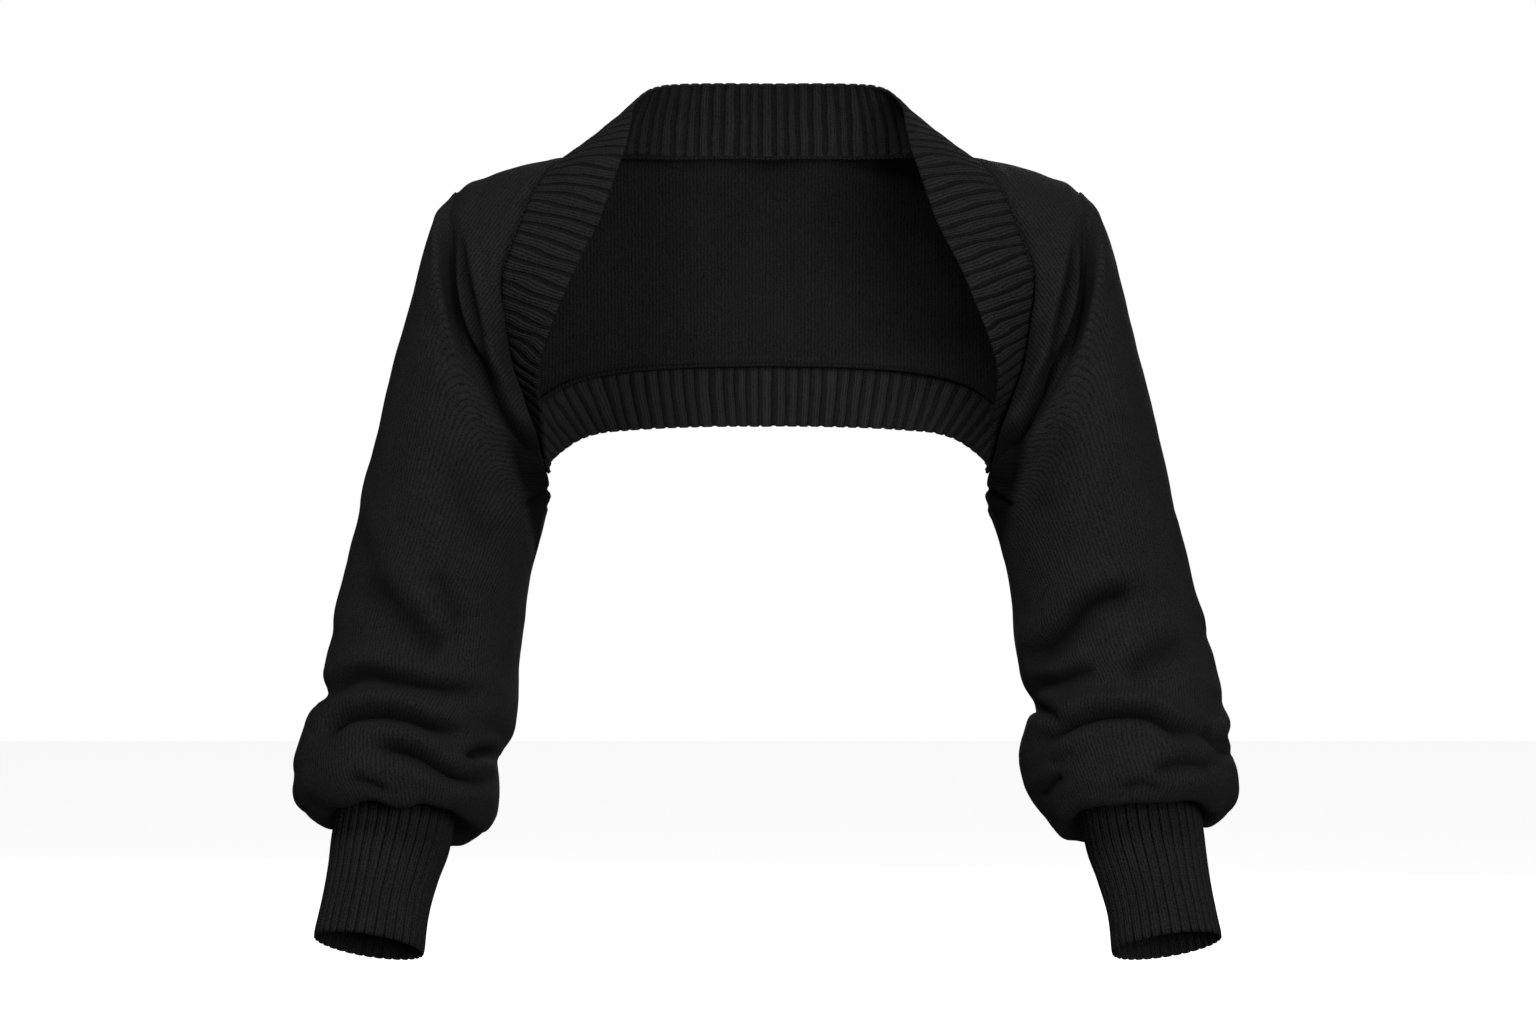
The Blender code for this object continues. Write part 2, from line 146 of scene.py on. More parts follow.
def tableOf(columns, rows):
    return dict(zip(columns.split(), np.array(rows, dtype=float).T))


def smoothCurve(points, at):  # whole values of at are the rows
    last = len(points) - 1
    before = np.vstack([2 * points[0] - points[1], points, 2 * points[-1] - points[-2]])
    index = np.clip(np.floor(at).astype(int), 0, last - 1)
    t = (np.asarray(at) - index)[:, None]
    p0, p1, p2, p3 = (before[index + step] for step in range(4))
    start, end = (p2 - p0) / 2, (p3 - p1) / 2
    return (
        (2 * t**3 - 3 * t**2 + 1) * p1
        + (t**3 - 2 * t**2 + t) * start
        + (3 * t**2 - 2 * t**3) * p2
        + (t**3 - t**2) * end
    )


def evenPlaces(points, steps):  # places equally far apart along the curve
    at = np.linspace(0, len(points) - 1, 40 * len(points))
    fine = smoothCurve(points, at)
    travelled = np.concatenate([[0], np.cumsum(np.linalg.norm(np.diff(fine, axis=0), axis=1))])
    return np.interp(np.linspace(0, travelled[-1], steps + 1), travelled, at)


def unit(vectors):
    return vectors / np.maximum(np.linalg.norm(vectors, axis=-1, keepdims=True), 1e-12)


def gridNormals(grid, closed, facing):
    if closed:
        along = np.roll(grid, -1, axis=1) - np.roll(grid, 1, axis=1)
    else:
        along = np.gradient(grid, axis=1)
    return facing * unit(np.cross(along, np.gradient(grid, axis=0)))


def refine(grid, rowParts, columnParts, closed):  # a smooth, finer grid through the same points
    rows, columns = grid.shape[:2]
    at = np.linspace(0, rows - 1, (rows - 1) * rowParts + 1)
    fine = smoothCurve(grid.reshape(rows, -1), at).reshape(len(at), columns, -1)
    turned = np.swapaxes(fine, 0, 1)
    if closed:
        turned = np.concatenate([turned[-2:], turned, turned[:3]])
        at = 2 + np.arange(columns * columnParts) / columnParts
    else:
        at = np.linspace(0, columns - 1, (columns - 1) * columnParts + 1)
    shape = turned.shape[1:]
    turned = smoothCurve(turned.reshape(len(turned), -1), at).reshape((len(at),) + shape)
    return np.swapaxes(turned, 0, 1)


def distanceDown(grid):  # how far each point lies from the first row, along its column
    lengths = np.linalg.norm(np.diff(grid, axis=0), axis=2)
    return np.concatenate([np.zeros((1, grid.shape[1])), np.cumsum(lengths, axis=0)])


def smoothStep(value, low, high):
    t = np.clip((value - low) / (high - low), 0, 1)
    return t * t * (3 - 2 * t)


def lumps(points, size, seed):  # soft unevenness from -1 to 1, with bumps about that size apart
    flat = points.reshape(-1, 3) / size + seed
    return np.array([noise.noise(Vector(p)) for p in flat]).reshape(points.shape[:-1])


def clothMesh(name, grid, u, v, closed, paintedShading=None):
    # u and v are the knit's own coordinates in metres: u across the wales, v along them
    rows, columns = grid.shape[:2]
    steps = columns if closed else columns - 1
    row, column = np.meshgrid(np.arange(rows - 1), np.arange(steps), indexing="ij")
    row, column = row.ravel(), column.ravel()
    beside = (column + 1) % columns
    faces = np.stack(
        [row * columns + column, (row + 1) * columns + column, (row + 1) * columns + beside, row * columns + beside],
        axis=1,
    )
    mesh = bpy.data.meshes.new(name)
    mesh.from_pydata(grid.reshape(-1, 3).tolist(), [], faces.tolist())
    corners = [(row, column), (row + 1, column), (row + 1, column + 1), (row, column + 1)]
    layer = mesh.uv_layers.new(name="knit")
    coordinates = np.stack([np.stack([u[r, c], v[r, c % columns]], axis=-1) for r, c in corners], axis=1)
    layer.data.foreach_set("uv", coordinates.astype(np.float32).ravel())
    # the shade attribute is painted shade and light: a factor that darkens the colour in fold troughs, rib grooves,
    # seams and the armpit, and lightens the cuffs' insides
    if paintedShading is not None:
        attribute = mesh.attributes.new("paintedShading", "FLOAT", "POINT")
        attribute.data.foreach_set("value", paintedShading.astype(np.float32).ravel())
    mesh.update()
    piece = bpy.data.objects.new(name, mesh)
    scene.collection.objects.link(piece)
    return piece


def applyModifier(piece, kind, **settings):
    bpy.ops.object.select_all(action="DESELECT")
    bpy.context.view_layer.objects.active = piece
    piece.select_set(True)
    modifier = piece.modifiers.new(kind.title(), kind)
    for key, value in settings.items():
        setattr(modifier, key, value)
    bpy.ops.object.modifier_apply(modifier=modifier.name)
    piece.select_set(False)


def finishCloth(piece, thickness, material):
    applyModifier(piece, "SOLIDIFY", thickness=thickness, offset=-1, use_even_offset=False, use_quality_normals=True)
    piece.data.shade_smooth()
    piece.data.materials.clear()
    piece.data.materials.append(material)
    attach(piece, "root")


# Construction lines, the same as the solids'

bandTable = tableOf(*shrugTables["band"])
armholeTable = tableOf(*shrugTables["armhole"])
fanTable = tableOf(*shrugTables["fan"])
swellTable = tableOf(*shrugTables["bodySwell"])
columns = cloth["columns"]
underarmRow = 8


def pointsOf(table, prefix=""):
    names = [prefix + axis for axis in ("XYZ" if prefix else "xyz")]
    return np.stack([table[name] for name in names], axis=1)


def bandLines():
    seam, edge = pointsOf(bandTable, "seam"), pointsOf(bandTable, "edge")
    places = evenPlaces((seam + edge) / 2, cloth["bandSteps"])
    return smoothCurve(seam, places), smoothCurve(edge, places)


armholeRows = np.interp(np.arange(columns), fanTable["column"], fanTable["row"])
armholeLoop = smoothCurve(pointsOf(armholeTable), armholeRows)
shoulderTop = np.arange(-3, 4) % columns
for _ in range(2):  # the armhole is round over the shoulder
    evened = (np.roll(armholeLoop, 1, axis=0) + 2 * armholeLoop + np.roll(armholeLoop, -1, axis=0)) / 4
    armholeLoop[shoulderTop] = evened[shoulderTop]
armholeLoop[shoulderTop, 2] += np.array([0.3, 0.7, 1, 1, 1, 0.7, 0.3]) * 4.5 * mm
seamLine, edgeLine = bandLines()
seamColumns = (np.arange(cloth["bandSteps"] + 1) - cloth["shoulderStep"]) % columns
mirrorX = np.array([-1, 1, 1])


def wholeLoop(half):  # a half loop of the band and its mirror image
    return np.concatenate([half, half[1:-1][::-1] * mirrorX])


def flatOnMirror(points, normals):  # no leaning to either side at the middle of the garment
    normals = normals.copy()
    normals[np.abs(points[..., 0]) < 1e-6, 0] = 0
    return unit(normals)


print("construction lines ready")


# Materials. Black cotton-blend knit: matte yarn with a short fuzz that greys at grazing angles

def srgb(code):
    values = [int(code[i:i + 2], 16) / 255 for i in (1, 3, 5)]
    linear = [v / 12.92 if v <= 0.04045 else ((v + 0.055) / 1.055) ** 2.4 for v in values]
    return (*linear, 1.0)


def addNode(tree, kind, inputs=None, **settings):
    node = tree.nodes.new(kind)
    for key, value in settings.items():
        setattr(node, key, value)
    for key, value in (inputs or {}).items():
        if isinstance(value, bpy.types.NodeSocket):
            tree.links.new(value, node.inputs[key])
        else:
            node.inputs[key].default_value = value
    return node


def calc(tree, operation, *values):
    return addNode(tree, "ShaderNodeMath", dict(enumerate(values)), operation=operation).outputs[0]


# Plain knit, brushed by wear: columns of V-shaped stitches, drawn a little coarser than the
# real 1.2 mm so that they show at this distance
jerseyKnit = {
    "name": "plain_knit_black_cotton",
    "wale": 2.5 * mm,
    "course": 2.0 * mm,
    "light": "#272727",
    "dark": "#030303",
    "bump": 0.7,
    "depth": 0.7 * mm,
    "roughness": 0.9,
    "sheen": 0.03,
    "stitchTone": 0.46,
    "fuzzTone": 0.58,
    "sway": 0.8,  # how far the wales wander, in wales
}
# Rib knit of a thicker yarn: three wales to each raised rib and one in the groove
bandKnit = dict(
    jerseyKnit, name="rib_knit_black_cotton_band", wale=2.3 * mm, course=1.9 * mm,
    light="#2d2d2d", dark="#020202", bump=0.9, depth=1.0 * mm, stitchTone=0.7, fuzzTone=0.55, sway=0.3,
)
cuffKnit = dict(bandKnit, name="rib_knit_black_cotton_cuff", wale=1.8 * mm, light="#2d2d2d", stitchTone=0.4)


def knitMaterial(values):
    material = bpy.data.materials.new(values["name"])
    material.use_nodes = True
    tree = material.node_tree
    shader = tree.nodes["Principled BSDF"]
    place = addNode(tree, "ShaderNodeUVMap", uv_map="knit").outputs["UV"]
    parts = addNode(tree, "ShaderNodeSeparateXYZ", {0: place}).outputs
    solid = addNode(tree, "ShaderNodeTexCoord").outputs["Object"]

    sway = addNode(tree, "ShaderNodeTexNoise", {"Vector": solid, "Scale": 1 / (5 * mm), "Detail": 1.0}).outputs[0]
    sway = calc(tree, "MULTIPLY", sway, values["sway"])
    wale = calc(tree, "ADD", calc(tree, "DIVIDE", parts["X"], values["wale"]), sway)
    course = calc(tree, "MULTIPLY_ADD", sway, 1.5, calc(tree, "DIVIDE", parts["Y"], values["course"]))
    side = calc(tree, "ABSOLUTE", calc(tree, "SUBTRACT", calc(tree, "FRACT", wale), 0.5))
    side = calc(tree, "MULTIPLY", side, 2.0)  # 0 in the middle of a wale, 1 between two
    slanted = calc(tree, "FRACT", calc(tree, "MULTIPLY_ADD", side, 0.6, course))
    leg = calc(tree, "SUBTRACT", 1.0, calc(tree, "MULTIPLY", calc(tree, "ABSOLUTE", calc(tree, "SUBTRACT", slanted, 0.5)), 2.0))
    column = calc(tree, "SUBTRACT", 1.0, calc(tree, "POWER", side, 2.5))
    stitch = calc(tree, "MULTIPLY", column, calc(tree, "MULTIPLY_ADD", leg, 0.35, 0.65))

    fuzz = addNode(tree, "ShaderNodeTexNoise", {"Vector": solid, "Scale": 1 / (1.2 * mm), "Detail": 2.0}).outputs[0]
    fuzz = calc(tree, "MULTIPLY_ADD", fuzz, 2.8, -0.9)
    fuzz = addNode(tree, "ShaderNodeClamp", {0: fuzz}).outputs[0]
    patch = addNode(tree, "ShaderNodeTexNoise", {"Vector": solid, "Scale": 1 / (22 * mm), "Detail": 3.0}).outputs[0]
    paintedShading = addNode(tree, "ShaderNodeAttribute", attribute_name="paintedShading").outputs["Fac"]

    height = calc(tree, "MULTIPLY_ADD", fuzz, 0.6, stitch)
    bump = addNode(
        tree, "ShaderNodeBump", {"Height": height, "Strength": values["bump"], "Distance": values["depth"]}
    ).outputs[0]
    tone = calc(tree, "MULTIPLY", fuzz, values["fuzzTone"])
    tone = calc(tree, "MULTIPLY_ADD", stitch, values["stitchTone"], tone)
    tone = calc(tree, "MULTIPLY_ADD", patch, 0.3, tone)
    # painted shade and light: the colour is darkened or lightened by the pieces' shade factor
    tone = calc(tree, "MULTIPLY", tone, paintedShading)
    ramp = addNode(tree, "ShaderNodeValToRGB", {0: tone})
    ramp.color_ramp.elements[0].color = srgb(values["dark"])
    ramp.color_ramp.elements[1].color = srgb(values["light"])
    tree.links.new(ramp.outputs[0], shader.inputs["Base Color"])
    tree.links.new(bump, shader.inputs["Normal"])
    shader.inputs["Roughness"].default_value = values["roughness"]
    shader.inputs["Specular IOR Level"].default_value = 0.08
    shader.inputs["Sheen Weight"].default_value = values["sheen"]
    shader.inputs["Sheen Roughness"].default_value = 0.45
    shader.inputs["Sheen Tint"].default_value = srgb("#8c8c8c")
    return material


jersey = knitMaterial(jerseyKnit)
bandRib = knitMaterial(bandKnit)
cuffRib = knitMaterial(cuffKnit)
print("materials ready")


def ribHeights(phase, walls):  # the ridges are at whole phases
    away = np.abs((phase + 0.5) % 1 - 0.5)
    return 1 - smoothStep(away, *walls)


# Band: one ribbed loop round the whole opening

bandShape = {
    "spans": 2,  # of the solid's grid across its width
    "ribWalls": (0.30, 0.44),  # where the sides of a rib begin and end, from its middle, in ribs
    "roll": 1.8 * mm,  # how far the middle of its width bows out
    "rowParts": 14,
    "columnParts": 20,
    "wander": 0.06,  # how far ribs stray, in ribs
    "uneven": 0.35,  # how far their widths shift them
    "evenedOver": 30,  # columns
    "edgeTooth": 0.35 * mm,
}


def bandCoarse():
    across = np.linspace(0, 1, bandShape["spans"] + 1)[:, None, None]
    flat = wholeLoop(seamLine) + (wholeLoop(edgeLine) - wholeLoop(seamLine)) * across
    return flat + gridNormals(flat, True, -1) * np.sin(math.pi * across) * bandShape["roll"]


def squareRibs(grid, ribs):  # the rib that each point lies on, with the ribs square to the band
    count = grid.shape[1]
    line = (grid[0] + grid[-1]) / 2
    step = (np.roll(line, -1, axis=0) - np.roll(line, 1, axis=0)) / 2
    pitch = np.linalg.norm(step, axis=1) * count / ribs
    ahead = ((grid[-1] - grid[0]) * unit(step)).sum(axis=1) / pitch
    reach = bandShape["evenedOver"]
    ahead = np.mean([np.roll(ahead, shift) for shift in range(-reach, reach + 1)], axis=0)
    across = np.linspace(-0.5, 0.5, len(grid))[:, None]
    return np.arange(count)[None, :] * ribs / count + ahead[None, :] * across


def makeBand(coarse, coarseNormals):
    grid = refine(coarse, bandShape["rowParts"], bandShape["columnParts"], True)
    normals = unit(refine(coarseNormals, bandShape["rowParts"], bandShape["columnParts"], True))
    rows, count = grid.shape[:2]
    ribs = 2 * cloth["bandSteps"] * cloth["ribsPerStep"]
    middle = np.tile(grid[rows // 2], (rows, 1, 1))
    phase = squareRibs(grid, ribs) + lumps(grid, 15 * mm, 3.1) * bandShape["wander"]
    phase += lumps(middle, 14 * mm, 6.7) * bandShape["uneven"]
    height = ribHeights(phase, bandShape["ribWalls"])
    width = distanceDown(grid)
    fromEdge = width[-1] - width
    crowded = smoothStep(-grid[..., 2], 150 * mm, 185 * mm) * (1 - smoothStep(grid[..., 1], 10 * mm, 50 * mm))
    uneven = 0.9 + 0.4 * lumps(grid, 14 * mm, 8.4) - 0.45 * crowded
    nearSeam = 1 - smoothStep(width, 0, cloth["seamWidth"])
    nearEdge = 1 - smoothStep(fromEdge, 0, 2.5 * mm)
    rise = cloth["ribHeight"] * height * uneven * (1 - 0.5 * nearSeam) * (1 - 0.3 * nearEdge)
    rise[0] = 0
    rise = rise - cloth["seamSink"] * nearSeam - 0.5 * mm * nearEdge
    outward = unit(grid[-1] - grid[-2])
    grid = grid + normals * rise[..., None]
    grid[-1] += outward * (bandShape["edgeTooth"] * height[-1])[:, None]
    grid[-2] += outward * (bandShape["edgeTooth"] * 0.6 * height[-2])[:, None]
    phase = np.concatenate([phase, phase[:, :1] + ribs], axis=1)
    wales = (4 * phase + 0.5) * bandKnit["wale"]
    # painted shade: darker in the rib grooves, along the seam and where the ribs crowd under the arm; the back, seen
    # from inside, is painted lighter than the front, standing in for light
    shade = (0.3 + 0.7 * height) * (1 - 0.5 * nearSeam) * (1 - 0.3 * crowded)
    shade *= 0.78 + 0.5 * smoothStep(grid[..., 1], 0, 50 * mm)
    piece = clothMesh("ribbed_band", grid, wales, width, True, shade)
    finishCloth(piece, cloth["ribThickness"], bandRib)
    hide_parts("band")
    return piece


# Folds that the arm's pull lays in the cloth, in millimetres as seen from the front, with both
# sleeves at +X. Each is a trough along a run, on the front (-1) or the back (1)

shoulderFolds = [
    # face, depth, width, run of (x, z)
    (-1, 7.0, 4.6, [(222, -45), (223, -72), (220, -100), (211, -128), (200, -148), (190, -167), (179, -187), (168, -208)]),
    (-1, 4.5, 3.8, [(215, -50), (213, -72), (210, -89), (204, -115), (200, -133), (194, -151), (188, -167)]),
    (-1, 3.0, 2.5, [(154, -229), (164, -234), (174, -242)]),
    (1, 4.5, 7.0, [(219, -62), (215, -100), (206, -138), (192, -176), (176, -204)]),
    (1, 2.5, 6.0, [(207, -78), (201, -112), (190, -150), (180, -176)]),
]
armpit = {
    "edge": [(187, -176), (182, -204), (176, -231), (173, -245), (170, -262), (166, -284)],
    "push": 12 * mm,  # how far the cloth falls back behind the edge of the sleeve's front
    "soft": 3.5 * mm,
    # painted shade: how much darker the colour is made in the pocket behind the sleeve's front
    "shade": 0.86,
}
shoulderPoint = {"sink": 0.5 * mm, "reach": 9 * mm, "puff": 2.2 * mm, "puffAway": 13 * mm}
shoulderMiddle, shoulderHalfDepth = 12 * mm, 60 * mm


def seenFromFront(grid):  # x and z on the picture's plane
    nearness = view["distance"] / (view["distance"] + grid[..., 1])
    return grid[..., 0] * nearness, view["eyeHeight"] + (grid[..., 2] - view["eyeHeight"]) * nearness


def awayFromRun(x, z, run):  # positive above a run, and how far along it the nearest place is
    run = np.array(run, dtype=float) * mm
    run = smoothCurve(run, np.linspace(0, len(run) - 1, 4 * len(run) - 3))
    best, away, along = np.full(x.shape, np.inf), np.zeros(x.shape), np.zeros(x.shape)
    for index, ((startX, startZ), (endX, endZ)) in enumerate(zip(run[:-1], run[1:])):
        stepX, stepZ = endX - startX, endZ - startZ
        t = np.clip(((x - startX) * stepX + (z - startZ) * stepZ) / (stepX**2 + stepZ**2), 0, 1)
        distance = np.hypot(x - startX - t * stepX, z - startZ - t * stepZ)
        closer = distance < best
        best = np.where(closer, distance, best)
        away = np.where(closer, distance * np.sign(stepX * (z - startZ) - stepZ * (x - startX)), away)
        along = np.where(closer, (index + t) / (len(run) - 1), along)
    return away * math.copysign(1, run[-1, 0] - run[0, 0]), along


def foldRise(folds, across, up, toward):
    # troughs, each with a soft ridge above and below it, and how deep in a trough each point lies, as a mask for
    # painted shade
    rise, hollow = np.zeros(up.shape), np.zeros(up.shape)
    for face, depth, width, run in folds:
        away, along = awayFromRun(across, up, run)
        width = 0.8 * width * mm
        trough = np.exp(-((away / np.where(away > 0, width, 1.5 * width)) ** 2))
        above = np.exp(-(((away - 2.1 * width) / (1.3 * width)) ** 2))
        below = np.exp(-(((away + 2.7 * width) / (1.5 * width)) ** 2))
        facing = np.clip(0.4 + 1.5 * face * toward, 0, 1)
        taper = smoothStep(np.minimum(along, 1 - along), -0.06, 0.2)
        rise += 1.35 * depth * mm * (0.45 * above + 0.2 * below - trough) * taper * facing
        hollow = np.maximum(hollow, trough**1.3 * taper * np.minimum(facing * 1.5, 1) * min(depth / 5.5, 1))
    return rise, hollow


def shoulderPulls(grid):
    return foldRise(shoulderFolds, *seenFromFront(grid), (grid[..., 1] - shoulderMiddle) / shoulderHalfDepth)


def armpitPush(grid):
    x, z = seenFromFront(grid)
    behind = smoothStep(awayFromRun(x, z, armpit["edge"])[0], -1.5 * mm, armpit["soft"])
    height = smoothStep(-z, 178 * mm, 202 * mm) * (1 - smoothStep(-z, 268 * mm, 300 * mm))
    return behind * height * smoothStep(-grid[..., 1], -6 * mm, 14 * mm)


def roundedShoulder(grid, fromArm, puff):  # the shoulder point isn't pointed
    near = np.exp(-((fromArm / shoulderPoint["reach"]) ** 2))
    beside = np.exp(-(((fromArm - shoulderPoint["puffAway"]) / shoulderPoint["reach"]) ** 2))
    return (puff * beside - shoulderPoint["sink"] * near) * smoothStep(grid[..., 2], -60 * mm, -30 * mm)


# Body: one plain-knit panel, the back with the shoulders and both narrow fronts

bodyShape = {
    "spans": 7,
    "rows": 49,
    "columnParts": 8,
    "ridge": 1.8 * mm,  # the soft ridge of cloth along the band
    "ridgeAway": 8 * mm,
    "frontSlant": math.radians(35),
    "smoothing": 90,  # rounds that even out the back between its rulings
}
hemCorner = cloth["bandSteps"] - cloth["shoulderStep"]
neckCorner = columns - cloth["shoulderStep"]


def bodySurface(spans, parts):
    def loopThrough(points):
        return points if parts == 1 else refine(np.stack([points] * 2), 1, parts, True)[0]

    seam = loopThrough(wholeLoop(seamLine))[:cloth["bandSteps"] * parts + 1]
    arm = loopThrough(armholeLoop)
    middle = pointsOf(tableOf(*shrugTables["centreBack"]))
    middle = smoothCurve(middle, evenPlaces(middle, cloth["centreBackSteps"] * parts))
    shoulder = cloth["shoulderStep"] * parts
    edge = np.concatenate([seam[shoulder:], middle[1:-1], seam[:shoulder]])
    edge[np.abs(edge[:, 0]) < 1e-6, 0] = 0
    across = np.linspace(0, 1, spans + 1)[:, None, None]
    flat = arm + (edge - arm) * across
    swell = np.interp(np.arange(len(edge)) / parts, swellTable["column"], swellTable["swell"])
    return flat + gridNormals(flat, True, -1) * np.sin(math.pi * across) * swell[None, :, None], seam


def smoothBack(grid):  # no crease where the back meets its mirror image, or along a ruling
    parts = bodyShape["columnParts"]
    middle = slice(hemCorner * parts + 1, neckCorner * parts)
    share = smoothStep(grid[..., 1], 30 * mm, 55 * mm)[1:-1, :, None]
    for _ in range(bodyShape["smoothing"]):
        beside = np.roll(grid, 1, axis=1) + np.roll(grid, -1, axis=1)
        even = (beside[1:-1] + grid[:-2] + grid[2:]) / 4
        edge = (beside[-1, middle, 1] + 2 * grid[-2, middle, 1]) / 4
        grid[1:-1] += (even - grid[1:-1]) * share
        grid[-1, middle, 1] = edge


def makeBody(seamNormals, armNormals, bandDirections):
    parts = bodyShape["columnParts"]
    grid, seam = bodySurface(bodyShape["rows"], parts)
    count = grid.shape[1]
    smoothBack(grid)
    fromBand = np.array([np.sqrt(((row[:, None] - seam[None]) ** 2).sum(axis=2).min(axis=1)) for row in grid])
    place = np.arange(count)
    seamed = ((place <= hemCorner * parts) | (place >= neckCorner * parts)).astype(float)
    normals = flatOnMirror(grid, gridNormals(grid, True, -1))
    normals[0] = unit(refine(np.stack([armNormals] * 2), 1, parts, True)[0])
    whole = unit(refine(np.stack([wholeLoop(seamNormals)] * 2), 1, parts, True)[0])
    shoulder = cloth["shoulderStep"] * parts
    normals[-1, :hemCorner * parts + 1] = whole[shoulder:len(seam)]
    normals[-1, neckCorner * parts:] = whole[:shoulder]
    nearBand = 1 - smoothStep(fromBand, 0, cloth["seamWidth"])
    front = smoothStep(-grid[..., 1], -20 * mm, 20 * mm)
    fromArm = distanceDown(grid)
    ridge = np.exp(-(((fromBand - bodyShape["ridgeAway"]) / (4.5 * mm)) ** 2)) * (0.25 + 0.75 * front)
    keep = smoothStep(fromArm, 0, 8 * mm) * smoothStep(fromBand, 0, 8 * mm) * smoothStep(grid[..., 0], 0, 25 * mm)
    rise = bodyShape["ridge"] * ridge * smoothStep(fromArm, 0, 8 * mm)
    rise += (1.2 * mm * lumps(grid, 55 * mm, 5.2) + 0.4 * mm * lumps(grid, 16 * mm, 1.7)) * keep
    clear = smoothStep(fromBand, 0, 9 * mm)
    folds, hollow = shoulderPulls(grid)
    rise += folds * clear - cloth["seamSink"] * nearBand
    pocket = armpitPush(grid) * clear
    rise += roundedShoulder(grid, fromArm, shoulderPoint["puff"])
    grid[..., 1] += armpit["push"] * pocket
    grid = grid + normals * rise[..., None]
    slant = bodyShape["frontSlant"]
    x, z = grid[..., 0], grid[..., 2]
    across = x * (1 - front) + (x * math.cos(slant) + z * math.sin(slant)) * front
    along = z * (1 - front) + (z * math.cos(slant) - x * math.sin(slant)) * front
    # painted shade: the colour is made darker along the band's seam, under the arm, on the inside of the back, in fold
    # troughs and in the armpit's pocket
    underarm = smoothStep(-grid[..., 2], 200 * mm, 225 * mm)
    inside = smoothStep(grid[..., 1], 30 * mm, 60 * mm)
    shade = (1 - (0.5 - 0.2 * inside) * nearBand) * (1 - 0.6 * underarm) * (1 - 0.14 * inside)
    shade *= (1 - np.maximum(cloth["hollowShade"] * hollow * clear, armpit["shade"] * pocket))
    # under the band the edge turns on as a seam allowance
    directions = unit(refine(np.stack([bandDirections] * 2), 1, parts, True)[0]) * seamed[:, None]
    under = [cloth["allowance"] * share * directions - 2.1 * mm * sink * normals[-1] * seamed[:, None]
             for share, sink in ((0.15, 0.8), (1, 1))]
    grid = np.concatenate([grid, [grid[-1] + step for step in under]])
    across, along, shade = (np.concatenate([part, part[-1:], part[-1:]]) for part in (across, along, shade))
    across = np.concatenate([across, across[:, :1]], axis=1)
    grid[:, :, 0] = np.maximum(grid[:, :, 0], 0)
    grid[-3:, hemCorner * parts:neckCorner * parts + 1, 0] = 0
    piece = clothMesh("knitted_body", grid, across, along, True, shade)
    applyModifier(piece, "WELD", merge_threshold=0.01 * mm)
    applyModifier(piece, "MIRROR", merge_threshold=0.1 * mm)
    finishCloth(piece, cloth["jerseyThickness"], jersey)
    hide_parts("body")
    return piece


# Sleeves: full tubes that blouse over the cuffs

sleeveShape = {
    "rings": 23,
    "evenRing": 9,
    "squareness": 2.25,
    "rowParts": 9,
    "columnParts": 5,
    "wales": 176,  # round the tube
    "gathers": 15,
    "gatherDepth": 2.8 * mm,
    "droop": 6 * mm,  # how unevenly the cloth hangs over the cuff
}
depthTable = tableOf(
    "centreY halfDepth leanDegrees bow",
    [
        (0.012, 0.078, 0, 0.022), (0.012, 0.079, 0, 0.020), (0.011, 0.079, 0, 0.018),
        (0.008, 0.075, 0, 0.012), (0.004, 0.070, 2, 0.006), (0.000, 0.066, 5, 0.002),
        (-0.006, 0.063, 9, 0), (-0.012, 0.064, 13, 0), (-0.017, 0.066, 15, 0),
        (-0.024, 0.070, 16, 0), (-0.031, 0.072, 17, 0), (-0.038, 0.073, 18, 0),
        (-0.045, 0.069, 18, 0), (-0.048, 0.057, 17, 0), (-0.0425, 0.0362, 20, 0),
    ],
)
sleeveOutlines = {
    "left": tableOf(
        "outerX outerZ innerX innerZ",
        [
            (0.2265, -0.0315, 0.1565, -0.2440), (0.2330, -0.0475, 0.1575, -0.2475),
            (0.2440, -0.085, 0.1598, -0.2525), (0.261, -0.152, 0.1640, -0.266),
            (0.2785, -0.224, 0.1700, -0.290), (0.291, -0.280, 0.1725, -0.316),
            (0.302, -0.325, 0.1750, -0.344), (0.309, -0.354, 0.1800, -0.364),
            (0.312, -0.371, 0.1895, -0.381), (0.3165, -0.393, 0.1800, -0.398),
            (0.3175, -0.414, 0.1755, -0.414), (0.3215, -0.436, 0.1800, -0.434),
            (0.319, -0.448, 0.1890, -0.451), (0.304, -0.456, 0.1990, -0.462),
            (0.2945, -0.4345, 0.2149, -0.4455),
        ],
    ),
    "right": tableOf(
        "outerX outerZ innerX innerZ",
        [
            (0.2265, -0.0315, 0.1565, -0.2440), (0.2330, -0.0475, 0.1575, -0.2475),
            (0.2440, -0.085, 0.1592, -0.2525), (0.262, -0.152, 0.1622, -0.266),
            (0.279, -0.224, 0.1675, -0.290), (0.292, -0.280, 0.1710, -0.316),
            (0.302, -0.325, 0.1740, -0.344), (0.3065, -0.354, 0.1755, -0.366),
            (0.305, -0.371, 0.1760, -0.380), (0.3165, -0.393, 0.1790, -0.398),
            (0.3235, -0.414, 0.1885, -0.412), (0.3255, -0.434, 0.1875, -0.434),
            (0.321, -0.448, 0.1890, -0.451), (0.304, -0.456, 0.2000, -0.462),
            (0.2945, -0.4345, 0.2149, -0.4455),
        ],
    ),
}
